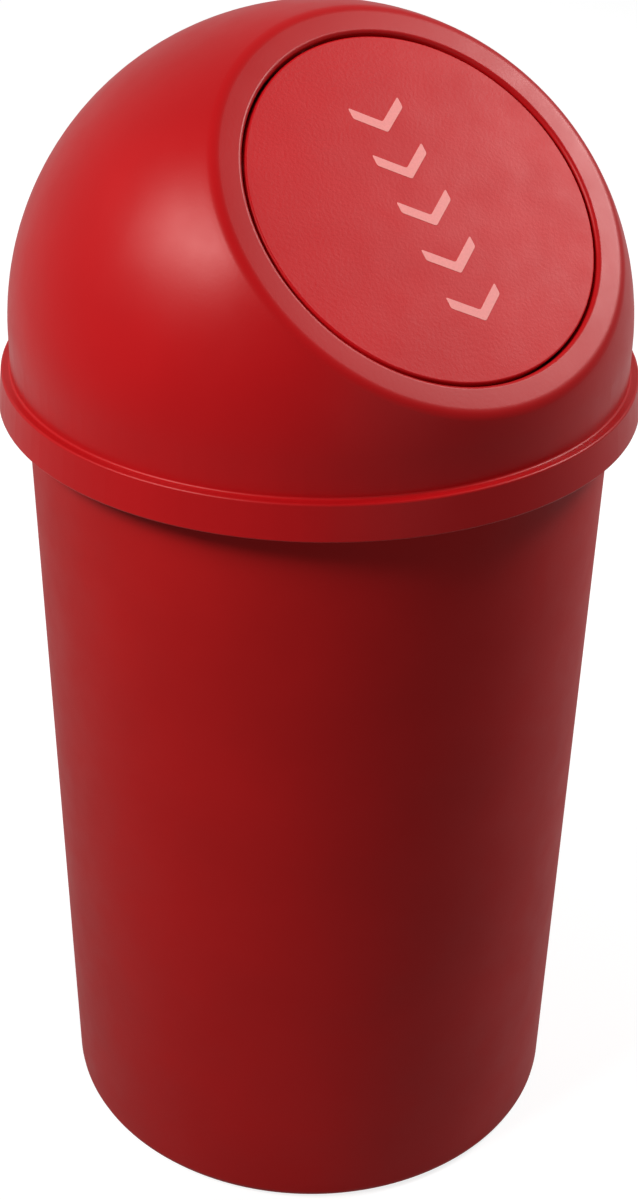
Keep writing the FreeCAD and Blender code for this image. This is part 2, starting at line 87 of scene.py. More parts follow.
def length(name, description, millimetres):
    return FloatProperty(name=name, description=description, default=millimetres * MM, min=0.0,
                         subtype="DISTANCE", unit="LENGTH", precision=5)


def share(name, description, default):
    return FloatProperty(name=name, description=description, default=default, min=0.0, max=1.0,
                         subtype="FACTOR")


def angle(name, description, degrees):
    return FloatProperty(name=name, description=description, default=math.radians(degrees),
                         subtype="ANGLE", unit="ROTATION")


def power(name, description, watts):
    return FloatProperty(name=name, description=description, default=watts, min=0.0,
                         subtype="POWER", unit="POWER")


def colour(name, description, hex_colour):
    return FloatVectorProperty(name=name, description=description, default=linear(hex_colour),
                               size=3, min=0.0, max=1.0, subtype="COLOR")


class TubSizes(bpy.types.PropertyGroup):
    height: length("Height", "Floor to the top of the rim", 432.4)
    draft: share("Draft", "Radius gained for each length of height", 0.0206)
    wall: length("Wall", "Thickness of the tub's side", 2.4)
    base_round: length("Base rounding", "Radius where the side meets the floor", 6.0)
    foot_width: length("Foot width", "Width of the ring the tub stands on", 8.0)
    foot_height: length("Foot height", "Height of that ring", 4.0)
    floor: length("Floor", "Thickness of the tub's floor", 2.6)
    floor_round: length("Floor rounding", "Radius inside, where side and floor meet", 5.0)
    rim: length("Rim", "Thickness of the turned-out rim", 2.4)
    rim_reach: length("Rim reach", "How far the rim stands out from the side", 8.1)
    lip_depth: length("Lip depth", "How far the rim is turned down", 9.0)
    lip_wall: length("Lip wall", "Thickness of the turned-down lip", 2.2)
    rim_round: length("Rim rounding", "Radius of the rim's top edges", 0.9)
    rim_clearance: length("Rim clearance", "Gap between the rim and the hood's skirt", 0.6)
    gate_radius: length("Gate radius", "Radius of the moulding gate's stub under the floor", 4.0)
    gate_height: length("Gate height", "Height of that stub", 1.2)
    ring_radius: length("Ring radius", "Radius of the stiffening ring under the floor", 62.0)
    ring_width: length("Ring width", "Width of the stiffening ring", 2.0)


class HoodSizes(bpy.types.PropertyGroup):
    wall: length("Wall", "Thickness of the hood", 2.4)
    skirt_radius: length("Skirt radius", "Radius at the skirt's hem", 156.0)
    skirt_flare: length("Skirt flare", "Radius lost from the hem to the skirt's top", 2.0)
    skirt_height: length("Skirt height", "Hem to the skirt's top", 17.7)
    skirt_round: length("Skirt rounding", "Radius of the skirt's top edge", 1.2)
    hem_round: length("Hem rounding", "Radius of the hem's edges", 0.7)
    shoulder_height: length("Shoulder height", "Upright stretch below the dome", 18.0)
    shoulder_step: length("Shoulder step", "Step in from the skirt to the dome", 4.5)
    tilt: angle("Tilt", "Slope of the facing", 42.6)
    facing_share: share("Facing", "Place of the facing along the dome's radius", 0.735)
    facing_round: length("Facing rounding", "Radius where the dome meets the facing", 8.0)
    bezel: length("Bezel", "Facing's width round the opening", 13.7)
    lip_round: length("Lip rounding", "Radius of the opening's edge", 2.0)
    collar_wall: length("Collar wall", "Thickness of the collar behind the facing", 2.3)
    collar_depth: length("Collar depth", "Depth of the collar", 9.5)
    boss_radius: length("Boss radius", "Radius of the hinge bosses", 5.0)
    boss_length: length("Boss length", "How far a boss stands out of the opening's side", 4.5)
    tab_width: length("Tab width", "Width of the stop tab", 38.0)
    tab_reach: length("Tab reach", "How far the stop tab stands into the opening", 9.6)
    tab: length("Tab", "Thickness of the stop tab", 2.2)


class FlapSizes(bpy.types.PropertyGroup):
    gap: length("Gap", "Gap between flap and opening", 1.3)
    recess: length("Recess", "Depth of the flap's face below the facing", 0.9)
    plate: length("Plate", "Thickness of the flap's plate", 2.2)
    rim_depth: length("Rim depth", "Depth of the flap's turned-in edge", 5.2)
    rim_wall: length("Rim wall", "Thickness of the turned-in edge", 2.2)
    edge_round: length("Edge rounding", "Radius of the face's edge", 1.0)
    pivot_share: share("Pivot", "Rise of the hinge as a share of the flap's radius", 0.468)
    pivot_depth: length("Pivot depth", "Depth of the hinge behind the facing", 6.6)
    pin_radius: length("Pin radius", "Radius of the hinge pins", 2.0)
    pin_clearance: length("Pin clearance", "Running clearance in the bosses", 0.05)
    ear_radius: length("Ear radius", "Radius of the hinge ears", 4.2)
    ear_length: length("Ear length", "Length of the hinge ears", 10.5)
    post_share: share("Posts", "Spacing of the posts as a share of the flap's radius", 0.7)
    post: length("Post", "Thickness of a post", 5.0)
    post_radius: length("Post radius", "Radius of a post's end", 10.5)
    post_margin: length("Post margin", "Distance from a post to the flap's edge", 4.6)
    bar_radius: length("Bar radius", "Radius of the counterweight", 7.0)
    bar_in: length("Bar depth", "Depth of the counterweight behind the hinge", 18.0)
    rib: length("Rib", "Thickness of a rib", 2.0)
    rib_height: length("Rib height", "Height of a rib", 4.0)
    rib_share: share("Rib end", "Far end of a rib as a share of the flap's radius", 0.68)
    mark_width: length("Mark width", "Width of a printed chevron", 28.0)
    mark_drop: length("Mark drop", "Height of a chevron's arms", 10.0)
    mark_stroke: length("Mark stroke", "Width of the printed line, down the slope", 5.5)
    mark_pitch: length("Mark pitch", "Distance from chevron to chevron", 24.0)
    mark_film: length("Mark film", "Thickness of the ink", 0.12)


class FinishColours(bpy.types.PropertyGroup):
    # Partly painted shade: the tub's red is a little deeper than the hood's, offsetting the low softbox's
    # light so the tub reads shaded under the skirt, as well as the plastic's own red
    tub: colour("Tub", "Polypropylene of the tub", "#AE1415")
    hood: colour("Hood", "Polypropylene of the hood", "#B21014")
    # Partly painted light: the flap's red is paler than the hood's and the tub's, standing in for light
    # from above on its upward face, as well as the plastic's own red
    flap: colour("Flap", "Polypropylene of the flap", "#C20C14")
    ink: colour("Ink", "Ink of the printed mark", "#F08A84")
    zinc: colour("Zinc", "Plating of the pins and the bar", "#B9BCC0")
    vinyl: colour("Vinyl", "Caps on the bar", "#1C1C1D")
    rubber: colour("Rubber", "Stop pads", "#242322")
    highlight: colour("Highlight", "Tint of the light that the plastics mirror", "#FFCBC8")
    floor: colour("Floor", "Studio floor", "#969695")


class StudioSizes(bpy.types.PropertyGroup):
    camera_place: FloatVectorProperty(name="Camera place", description="Where the camera stands",
                                      default=(-0.57452, -0.73792, 0.85606), subtype="XYZ", unit="LENGTH")
    camera_turn: FloatVectorProperty(name="Camera turn", description="How the camera is turned",
                                     default=[math.radians(turn) for turn in (59.0564, -0.8440, -37.4879)],
                                     subtype="EULER", unit="ROTATION")
    lens: FloatProperty(name="Lens", description="Focal length, for a 36 mm long side", default=62.832,
                        unit="CAMERA")
    key: power("Key", "Softbox at the left", 9.2)
    spot: power("Spot", "Small softbox at the left, which makes the dome's highlight", 7.6)
    side: power("Side", "Softbox at the right", 14.0)
    low: power("Low", "Softbox low in front, which lights the tub under the skirt", 1.4)
    room: share("Room", "Light from the room itself", 0.04)
    sweep: share("Sweep", "Brightness of the paper behind the bin, where it is seen", 0.95)
    sweep_near: share("Near sweep", "Brightness of the paper round the bin, where it is seen", 0.75)
    mirrored: share("Mirrored", "Share of that brightness that glossy surfaces mirror", 0.42)


class WasteBin(bpy.types.PropertyGroup):
    tub: PointerProperty(type=TubSizes)
    hood: PointerProperty(type=HoodSizes)
    flap: PointerProperty(type=FlapSizes)
    colours: PointerProperty(type=FinishColours)
    studio: PointerProperty(type=StudioSizes)


def places(settings):
    """Radii, heights, rises and levels worked out from the sizes."""
    tub, hood, flap = settings.tub, settings.hood, settings.flap
    at = SimpleNamespace()
    at.skirt_top_radius = hood.skirt_radius - hood.skirt_flare
    at.dome = at.skirt_top_radius - hood.shoulder_step
    at.dome_inner = at.dome - hood.wall
    at.skirt_top = tub.height + hood.wall
    at.hem = at.skirt_top - hood.skirt_height
    at.dome_centre = at.skirt_top + hood.shoulder_height
    at.seat = at.skirt_top_radius - hood.wall
    at.rim = at.seat - tub.rim_clearance
    at.tub_top = at.rim - tub.rim_reach
    at.base = at.tub_top - tub.draft * tub.height
    at.facing = hood.facing_share * at.dome
    at.opening = math.sqrt(at.dome ** 2 - at.facing ** 2) - hood.bezel
    at.collar = at.opening + hood.collar_wall
    at.flap = at.opening - flap.gap
    at.flap_face = -flap.recess
    at.flap_back = at.flap_face - flap.plate
    at.flap_end = at.flap_face - flap.rim_depth
    at.pivot_rise = flap.pivot_share * at.flap
    at.pivot_level = -flap.pivot_depth
    at.ear_end = math.sqrt((at.flap - flap.rim_wall / 2) ** 2 - (at.pivot_rise + flap.ear_radius) ** 2)
    at.boss = math.sqrt(at.opening ** 2 - at.pivot_rise ** 2) + hood.boss_length
    at.post = flap.post_share * at.flap / 2
    at.bar_rise = (math.sqrt((at.flap - flap.rim_wall) ** 2 - (at.post + flap.post / 2) ** 2)
                   - flap.post_radius - flap.post_margin)
    at.bar_level = at.pivot_level - flap.bar_in
    return at


# Drawing and shaping, as by hand

def rounded(*corners):
    """Section line through corners of across, up and radius; each inner corner turns on its radius."""
    points = []
    for number, (across, up, radius) in enumerate(corners):
        here = Vector((across, up))
        if not radius:
            points.append(here)
            continue
        back = (Vector(corners[number - 1][:2]) - here).normalized()
        onward = (Vector(corners[number + 1][:2]) - here).normalized()
        half = back.angle(onward) / 2
        centre = here + (back + onward).normalized() * (radius / math.sin(half))
        arm = here + back * (radius / math.tan(half)) - centre
        turn = math.copysign(math.pi - 2 * half, onward.cross(back))
        points += [centre + Matrix.Rotation(turn * step / ARC_STEPS, 2) @ arm
                   for step in range(ARC_STEPS + 1)]
    return points


def sweep(centre, radius, start, end, steps):
    """Section line on an arc; angles are from straight up towards the right."""
    angles = [start + (end - start) * step / steps for step in range(steps + 1)]
    return [Vector((centre[0] + radius * math.sin(turn), centre[1] + radius * math.cos(turn)))
            for turn in angles]


def only(piece):
    """Select one object alone and make it active."""
    bpy.ops.object.select_all(action="DESELECT")
    piece.select_set(True)
    bpy.context.view_layer.objects.active = piece


def name_new(name):
    piece = bpy.context.object
    piece.name = piece.data.name = name
    return piece


def draw(name, points):
    """New mesh of one line, drawn vertex by vertex, left in edit mode with all of it selected."""
    bpy.ops.object.select_all(action="DESELECT")
    bpy.ops.mesh.primitive_plane_add()
    piece = name_new(name)
    bpy.ops.object.mode_set(mode="EDIT")
    bpy.ops.mesh.merge(type="CENTER")
    bpy.ops.transform.translate(value=points[0])
    for start, end in zip(points, points[1:]):
        bpy.ops.mesh.extrude_region_move(TRANSFORM_OT_translate={"value": end - start})
    bpy.ops.mesh.select_all(action="SELECT")
    return piece


def weld():
    """Merge what coincides and turn all faces outwards."""
    bpy.ops.mesh.select_all(action="SELECT")
    bpy.ops.mesh.remove_doubles(threshold=TOUCH)
    bpy.ops.mesh.normals_make_consistent(inside=False)


def turned(name, section, steps=TURN_STEPS):
    """Piece spun from a section of radius and height about the upright axis."""
    piece = draw(name, [Vector((radius, 0, up)) for radius, up in section])
    bpy.ops.mesh.spin(steps=steps, angle=math.tau, center=(0, 0, 0), axis=(0, 0, 1))
    weld()
    bpy.ops.object.mode_set(mode="OBJECT")
    return piece


def select_where(piece, test):
    """In edit mode, select the vertices that pass a test of their place, and what lies between them."""
    mesh = bmesh.from_edit_mesh(piece.data)
    for vertex in mesh.verts:
        vertex.select = test(vertex.co)
    mesh.select_flush(True)
    mesh.select_flush(False)
    bmesh.update_edit_mesh(piece.data)


def place(piece, turn=(0, 0, 0), at=(0, 0, 0)):
    """Turn and move a piece, and keep its place in its mesh."""
    only(piece)
    piece.rotation_euler = turn
    piece.location = at
    bpy.ops.object.transform_apply(location=True, rotation=True, scale=True)
    return piece


def lean(piece, settings, at):
    """Bring a piece from the facing's own axes into the frame."""
    out = Vector((0, -math.sin(settings.hood.tilt), math.cos(settings.hood.tilt))) * at.facing
    return place(piece, (settings.hood.tilt, 0, 0), Vector((0, 0, at.dome_centre)) + out)


def rod(name, radius, start, end, rise, level, edge=0.0, steps=ROD_STEPS):
    """Cylinder along X, in the facing's axes, with its end edges rounded."""
    bpy.ops.object.select_all(action="DESELECT")
    bpy.ops.mesh.primitive_cylinder_add(vertices=steps, radius=radius, depth=abs(end - start))
    piece = name_new(name)
    if edge:
        bpy.ops.object.mode_set(mode="EDIT")
        reach = abs(end - start) / 2
        for side in (-reach, reach):
            select_where(piece, lambda co: abs(co.z - side) < TOUCH)
            bpy.ops.mesh.bevel(offset=edge, segments=ARC_STEPS // 2, affect="EDGES")
        bpy.ops.object.mode_set(mode="OBJECT")
    return place(piece, (0, math.pi / 2, 0), ((start + end) / 2, rise, level))


def block(name, low, high, edge):
    """Box between two corners with all its edges rounded."""
    bpy.ops.object.select_all(action="DESELECT")
    bpy.ops.mesh.primitive_cube_add(size=1, location=(low + high) / 2, scale=high - low)
    piece = name_new(name)
    bpy.ops.object.transform_apply(location=True, rotation=True, scale=True)
    bpy.ops.object.mode_set(mode="EDIT")
    bpy.ops.mesh.bevel(offset=edge, segments=ARC_STEPS // 2, affect="EDGES")
    bpy.ops.object.mode_set(mode="OBJECT")
    return piece


def plug(name, radius, low, high):
    """Upright cylinder with as many flats as the opening."""
    bpy.ops.object.select_all(action="DESELECT")
    bpy.ops.mesh.primitive_cylinder_add(vertices=TURN_STEPS, radius=radius, depth=high - low,
                                        location=(0, 0, (low + high) / 2))
    bpy.ops.object.transform_apply(location=True, rotation=True, scale=True)
    return name_new(name)


def joined(pieces):
    """One object of several."""
    only(pieces[0])
    for piece in pieces[1:]:
        piece.select_set(True)
    bpy.ops.object.join()
    return bpy.context.object


def combine(piece, tools, operation):
    """Add tools to a piece, cut them from it or keep what they share, and remove them."""
    tool = joined(tools)
    only(piece)
    bpy.ops.object.modifier_add(type="BOOLEAN")
    step = piece.modifiers[-1]
    step.operation, step.solver, step.object = operation, "EXACT", tool
    bpy.ops.object.modifier_apply(modifier=step.name)
    bpy.data.objects.remove(tool)
    return piece


def settle(piece, body, slot, material, *nodes):
    """Clear slivers from a piece, shade it, give it its finish and set it on the body that carries it."""
    only(piece)
    bpy.ops.object.mode_set(mode="EDIT")
    weld()
    bpy.ops.mesh.dissolve_degenerate(threshold=TOUCH)
    bpy.ops.mesh.fill_holes(sides=4)
    bpy.ops.object.mode_set(mode="OBJECT")
    bpy.ops.object.shade_smooth_by_angle(angle=CREASE)
    bpy.ops.object.modifier_add(type="WEIGHTED_NORMAL")
    piece.modifiers[-1].keep_sharp = True
    bpy.ops.object.modifier_apply(modifier=piece.modifiers[-1].name)
    piece.data.materials.clear()
    piece.data.materials.append(material)
    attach(piece, body)
    if nodes:
        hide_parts(*nodes)


def refinish(material, *nodes):
    """Better finish for nodes whose shape is right as it is."""
    for node in nodes:
        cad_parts[node].material_slots[0].material = material


# Finishes

def add_node(tree, kind, links=None, values=None, **settings):
    """Node with its settings, socket values and incoming links."""
    node = tree.nodes.new(kind)
    for name, setting in settings.items():
        setattr(node, name, setting)
    for socket, value in (values or {}).items():
        node.inputs[socket].default_value = value
    for socket, source in (links or {}).items():
        tree.links.new(source, node.inputs[socket])
    return node


def new_finish(name):
    """Material with an empty tree but for its output and a Principled shader."""
    material = bpy.data.materials.new(name)
    material.use_nodes = True
    tree = material.node_tree
    return material, tree, tree.nodes["Principled BSDF"]


def surface(tree):
    """Coordinates that stay with the piece."""
    return add_node(tree, "ShaderNodeTexCoord").outputs["Object"]


def noise(tree, where, size_mm, detail, roughness=0.5):
    """Cloudy pattern with features of about that size."""
    return add_node(tree, "ShaderNodeTexNoise", {"Vector": where},
                    {"Scale": 1 / (size_mm * MM), "Detail": detail, "Roughness": roughness}).outputs["Fac"]


def spread(tree, source, start, end, low, high):
    """Values from start to end, stretched to run from low to high."""
    return add_node(tree, "ShaderNodeMapRange", {"Value": source},
                    {"From Min": start, "From Max": end, "To Min": low, "To Max": high}).outputs["Result"]


def tint(tree, shader, base, factor):
    """Base colour, deeper and paler by a pattern."""
    shade = add_node(tree, "ShaderNodeVectorMath", {1: factor}, {0: base}, operation="MULTIPLY")
    tree.links.new(shade.outputs["Vector"], shader.inputs["Base Color"])


def relief(tree, shader, pattern, height_mm):
    """Skin with the pattern standing out by that height."""
    skin = add_node(tree, "ShaderNodeBump", {"Height": pattern},
                    {"Strength": 1.0, "Distance": height_mm * MM})
    tree.links.new(skin.outputs["Normal"], shader.inputs["Normal"])


def polypropylene(name, base, highlight, grain_mm, grain_height_mm, gloss, specular):
    """Moulded polypropylene with a fine etched skin: soft broad highlights, a grain that only just
    breaks them, and clouds of slightly deeper and paler pigment. The etching is finer on the bin and is
    drawn as coarse as it needs to show."""
    material, tree, shader = new_finish(name)
    where = surface(tree)
    clouds = noise(tree, where, size_mm=70, detail=3.0)
    tint(tree, shader, base, spread(tree, clouds, *NOISE_SPAN, low=0.95, high=1.05))
    smears = noise(tree, where, size_mm=18, detail=4.0, roughness=0.55)
    sheen = spread(tree, smears, *NOISE_SPAN, low=gloss - 0.03, high=gloss + 0.03)
    tree.links.new(sheen, shader.inputs["Roughness"])
    relief(tree, shader, noise(tree, where, grain_mm, detail=2.0, roughness=0.6), grain_height_mm)
    shader.inputs["IOR"].default_value = 1.49
    shader.inputs["Specular IOR Level"].default_value = specular
    shader.inputs["Specular Tint"].default_value = (*highlight, 1)
    return material


def pad_ink(name, base):
    """Pad-printed ink: a thin matt film that shows the grain under it."""
    material, tree, shader = new_finish(name)
    grain = noise(tree, surface(tree), size_mm=1.0, detail=2.0)
    tint(tree, shader, base, spread(tree, grain, 0.25, 0.75, low=0.94, high=1.04))
    relief(tree, shader, grain, height_mm=0.02)
    shader.inputs["Roughness"].default_value = 0.55
    shader.inputs["IOR"].default_value = 1.5
    return material


def zinc_plate(name, base):
    """Bright zinc on drawn steel: a grey metal with fine lines along the drawing and cloudy passivation."""
    material, tree, shader = new_finish(name)
    where = surface(tree)
    drawn = add_node(tree, "ShaderNodeMapping", {"Vector": where}, {"Scale": (0.04, 1.0, 1.0)})
    lines = noise(tree, drawn.outputs["Vector"], size_mm=0.4, detail=2.0)
    clouds = noise(tree, where, size_mm=6, detail=3.0)
    tint(tree, shader, base, spread(tree, clouds, *NOISE_SPAN, low=0.85, high=1.05))
    polish = spread(tree, lines, *NOISE_SPAN, low=0.28, high=0.45)
    tree.links.new(polish, shader.inputs["Roughness"])
    relief(tree, shader, lines, height_mm=0.01)
    shader.inputs["Metallic"].default_value = 1.0
    return material


def soft_black(name, base, grain_mm, gloss):
    """Soft black vinyl or cellular rubber: nearly no highlight, and a faint bloom of paler specks."""
    material, tree, shader = new_finish(name)
    grain = noise(tree, surface(tree), grain_mm, detail=3.0)
    tint(tree, shader, base, spread(tree, grain, 0.3, 0.75, low=0.8, high=1.6))
    relief(tree, shader, grain, height_mm=0.03)
    shader.inputs["Roughness"].default_value = gloss
    return material


# Operators, one for each piece or group of like pieces

class WASTEBIN_OT_tub(bpy.types.Operator):
    """Model the tapered tub with its foot ring, floor and turned-out rim"""
    bl_idname = "wastebin.tub"
    bl_label = "Tub"

    def execute(self, context):
        settings = context.scene.waste_bin
        tub, at = settings.tub, places(settings)
        small = tub.foot_height / 4
        foot = at.base - tub.base_round - tub.foot_width
        floor_top = tub.foot_height + tub.floor
        under = tub.height - tub.rim
        lip = at.rim - tub.lip_wall
        lip_end = tub.height - tub.lip_depth
        ring_low = tub.foot_height - tub.ring_width / 2
        gate_low = tub.foot_height - tub.gate_height
        section = rounded(
            (0, gate_low, 0),
            (tub.gate_radius, gate_low, small / 2),
            (tub.gate_radius, tub.foot_height, small / 4),
            (tub.ring_radius, tub.foot_height, small / 4),
            (tub.ring_radius, ring_low, small / 4),
            (tub.ring_radius + tub.ring_width, ring_low, small / 4),
            (tub.ring_radius + tub.ring_width, tub.foot_height, small / 4),
            (foot, tub.foot_height, small),
            (foot, 0, small / 2),
            (at.base, 0, tub.base_round),
            (at.base + tub.draft * under, under, tub.rim_round),
            (lip, under, tub.rim_round),
            (lip, lip_end, tub.rim_round / 2),
            (at.rim, lip_end, tub.rim_round / 2),
            (at.rim, tub.height, tub.rim_round),
            (at.tub_top - tub.wall, tub.height, tub.rim_round),
            (at.base + tub.draft * floor_top - tub.wall, floor_top, tub.floor_round),
            (0, floor_top, 0),
        )
        # The tub's base colour holds painted shade as well as the plastic's red
        finish = polypropylene("Etched polypropylene, tub", settings.colours.tub,
                               settings.colours.highlight, grain_mm=1.6, grain_height_mm=0.03,
                               gloss=0.5, specular=0.18)
        settle(turned("tub_moulding", section), "bin", "tub_plastic", finish, "bin_body")
        return {"FINISHED"}


class WASTEBIN_OT_hood(bpy.types.Operator):
    """Model the dome hood with its skirt, slanted facing, collar, hinge bosses and stop tab"""
    bl_idname = "wastebin.hood"
    bl_label = "Hood"

    def execute(self, context):
        settings = context.scene.waste_bin
        at = places(settings)
        hood = self.shell(settings, at)
        combine(hood, self.fittings(settings, at), "UNION")
        flap = settings.flap
        reach = at.boss + flap.pin_radius
        bearing = rod("bearing", flap.pin_radius + flap.pin_clearance, -reach, reach,
                      at.pivot_rise, at.pivot_level)
        combine(hood, [lean(bearing, settings, at)], "DIFFERENCE")
        finish = polypropylene("Etched polypropylene, hood", settings.colours.hood,
                               settings.colours.highlight, grain_mm=1.6, grain_height_mm=0.025,
                               gloss=0.36, specular=0.27)
        settle(hood, "lid", "hood_plastic", finish, "lid_hood")
        return {"FINISHED"}

    def shell(self, settings, at):
        """Dome and collar spun about the opening's axis, cut level, and drawn down into the skirt."""
        hood, tub = settings.hood, settings.tub
        dome_steps, start_steps = 40, 2
        far, shared = math.radians(138), math.radians(45)
        centre = (0, -at.facing)
        hub, hub_level = at.dome - hood.facing_round, at.facing - hood.facing_round
        edge = math.acos(hub_level / hub)
        bezel = hub * math.sin(edge)
        inner_edge = math.acos((at.facing - hood.wall) / at.dome_inner)
        small = hood.hem_round
        section = (
            sweep(centre, at.dome, far, shared, dome_steps)
            + sweep(centre, at.dome, shared, edge, start_steps)[1:-1]
            + sweep((bezel, -hood.facing_round), hood.facing_round, edge, 0, 2 * ARC_STEPS)
            + rounded(
                (bezel - hood.lip_round, 0, 0),
                (at.opening, 0, hood.lip_round),
                (at.opening, -hood.collar_depth, small),
                (at.collar, -hood.collar_depth, small),
                (at.collar, -hood.wall, small),
                (at.dome_inner * math.sin(inner_edge), -hood.wall, 0))
            + sweep(centre, at.dome_inner, inner_edge, shared, start_steps)[1:]
            + sweep(centre, at.dome_inner, shared, far, dome_steps)[1:]
        )
        piece = lean(turned("hood_moulding", section), settings, at)
        bpy.ops.object.mode_set(mode="EDIT")
        bpy.ops.mesh.select_all(action="SELECT")
        bpy.ops.mesh.bisect(plane_co=(0, 0, at.dome_centre), plane_no=(0, 0, 1), clear_inner=True,
                            threshold=TOUCH / 10)
        select_where(piece, lambda co: abs(co.z - at.dome_centre) < TOUCH
                     and math.hypot(co.x, co.y) > at.dome - hood.wall / 2)
        radius, height = at.dome, at.dome_centre
        for new_radius, new_height in rounded(
            (at.dome, at.dome_centre, 0),
            (at.dome, at.skirt_top, hood.skirt_round),
            (at.skirt_top_radius, at.skirt_top, hood.skirt_round),
            (hood.skirt_radius, at.hem, small),
            (hood.skirt_radius - hood.wall, at.hem, small),
            (at.seat, tub.height, small),
            (at.dome_inner, tub.height, small),
            (at.dome_inner, at.dome_centre, 0),
        )[1:]:
            bpy.ops.mesh.extrude_region_move(
                TRANSFORM_OT_translate={"value": (0, 0, new_height - height)})
            ratio = new_radius / radius
            bpy.ops.transform.resize(value=(ratio, ratio, 1), center_override=(0, 0, new_height))
            radius, height = new_radius, new_height
        weld()
        bpy.ops.object.mode_set(mode="OBJECT")
        return piece

    def fittings(self, settings, at):
        """Bosses trimmed to the collar's round, and the stop tab at the top of the opening."""
        hood = settings.hood
        bosses = rod("bosses", hood.boss_radius, -at.boss, at.boss, at.pivot_rise, at.pivot_level,
                     edge=hood.hem_round)
        inside = plug("inside", at.opening + hood.collar_wall / 3,
                      -hood.collar_depth * 2, hood.collar_depth)
        combine(bosses, [inside], "DIFFERENCE")
        tab = block("stop_tab",
                    Vector((-hood.tab_width / 2, at.opening - hood.tab_reach, -hood.collar_depth)),
                    Vector((hood.tab_width / 2, at.opening + hood.collar_wall / 2,
                            hood.tab - hood.collar_depth)), hood.hem_round)
        return [lean(bosses, settings, at), lean(tab, settings, at)]


class WASTEBIN_OT_flap(bpy.types.Operator):
    """Model the round flap with its turned-in edge, hinge ears, posts and ribs"""
    bl_idname = "wastebin.flap"
    bl_label = "Flap"

    def execute(self, context):
        settings = context.scene.waste_bin
        at = places(settings)
        flap = settings.flap
        small = flap.edge_round
        rim = at.flap - flap.rim_wall
        cap = turned("flap_moulding", rounded(
            (0, at.flap_back, 0),
            (rim, at.flap_back, small),
            (rim, at.flap_end, small / 2),
            (at.flap, at.flap_end, small / 2),
            (at.flap, at.flap_face, small),
            (0, at.flap_face, 0),
        ))
        combine(cap, self.ears(settings, at) + self.posts(settings, at), "UNION")
        combine(cap, self.ribs(settings, at), "UNION")
        combine(cap, [
            rod("pin_hole", flap.pin_radius, -at.flap, at.flap, at.pivot_rise, at.pivot_level),
            rod("bar_hole", flap.bar_radius + flap.pin_clearance, -at.flap, at.flap,
                at.bar_rise, at.bar_level),
        ], "DIFFERENCE")
        # The flap's base colour holds painted light from above as well as the plastic's red
        finish = polypropylene("Leather-grained polypropylene, flap", settings.colours.flap,
                               settings.colours.highlight, grain_mm=1.5, grain_height_mm=0.08,
                               gloss=0.46, specular=0.25)
        settle(lean(cap, settings, at), "flap", "flap_plastic", finish, "flap_panel")
        return {"FINISHED"}

    def ears(self, settings, at):
        """Two ears, which end inside the flap's turned-in edge."""
        flap = settings.flap
        start = at.ear_end - flap.ear_length
        return [rod("ear", flap.ear_radius, side * start, side * at.ear_end, at.pivot_rise, at.pivot_level,
                    edge=flap.edge_round / 2) for side in (-1, 1)]

    def posts(self, settings, at):
        """Two posts for the counterweight."""
        flap = settings.flap
        core = (at.flap_face + at.flap_back) / 2
        low, high = at.bar_rise - flap.post_radius, at.bar_rise + flap.post_radius
        outline = [Vector((low, core)), *sweep((at.bar_rise, at.bar_level), flap.post_radius,
                                               -math.pi / 2, -math.pi * 3 / 2, ROD_STEPS // 2),
                   Vector((high, core))]
        pieces = []
        for side in (-1, 1):
            middle = side * at.post
            post = draw("post", [Vector((middle - flap.post / 2, rise, level)) for rise, level in outline])
            bpy.ops.mesh.edge_face_add()
            bpy.ops.mesh.extrude_region_move(TRANSFORM_OT_translate={"value": (flap.post, 0, 0)})
            weld()
            bpy.ops.object.mode_set(mode="OBJECT")
            pieces.append(post)
        return pieces

    def ribs(self, settings, at):
        """Two ribs, each running down the plate from a post."""
        flap = settings.flap
        low = Vector((-flap.rib / 2, -flap.rib_share * at.flap, at.flap_back - flap.rib_height))
        high = Vector((flap.rib / 2, at.bar_rise - flap.post_radius + flap.rib,
                       at.flap_face - flap.plate / 2))
        return [block("rib", low + step, high + step, flap.edge_round / 2)
                for step in (Vector((-at.post, 0, 0)), Vector((at.post, 0, 0)))]


class WASTEBIN_OT_flap_mark(bpy.types.Operator):
    """Print a plain row of chevrons down the middle of the flap"""
    bl_idname = "wastebin.flap_mark"
    bl_label = "Flap mark"

    def execute(self, context):
        settings = context.scene.waste_bin
        at = places(settings)
        flap = settings.flap
        half, top = flap.mark_width / 2, flap.mark_pitch * (MARK_COUNT - 1) / 2
        sink = flap.mark_film / 2
        marks = []
        for number in range(MARK_COUNT):
            rise = top - number * flap.mark_pitch + flap.mark_drop / 2
            mark = draw("chevron", [
                Vector((-half, rise, at.flap_face - sink)),
                Vector((0, rise - flap.mark_drop, at.flap_face - sink)),
                Vector((half, rise, at.flap_face - sink)),
            ])
            bpy.ops.mesh.extrude_region_move(TRANSFORM_OT_translate={"value": (0, -flap.mark_stroke, 0)})
            bpy.ops.mesh.select_all(action="SELECT")
            bpy.ops.mesh.bevel(offset=flap.mark_stroke / 6, segments=ARC_STEPS // 2, affect="VERTICES")
            bpy.ops.mesh.select_all(action="SELECT")
            bpy.ops.mesh.extrude_region_move(
                TRANSFORM_OT_translate={"value": (0, 0, sink + flap.mark_film)})
            weld()
            bpy.ops.object.mode_set(mode="OBJECT")
            marks.append(mark)
        piece = lean(joined(marks), settings, at)
        piece.name = piece.data.name = "flap_mark"
        settle(piece, "flap", "flap_plastic", pad_ink("Pad-printed ink", settings.colours.ink))
        return {"FINISHED"}


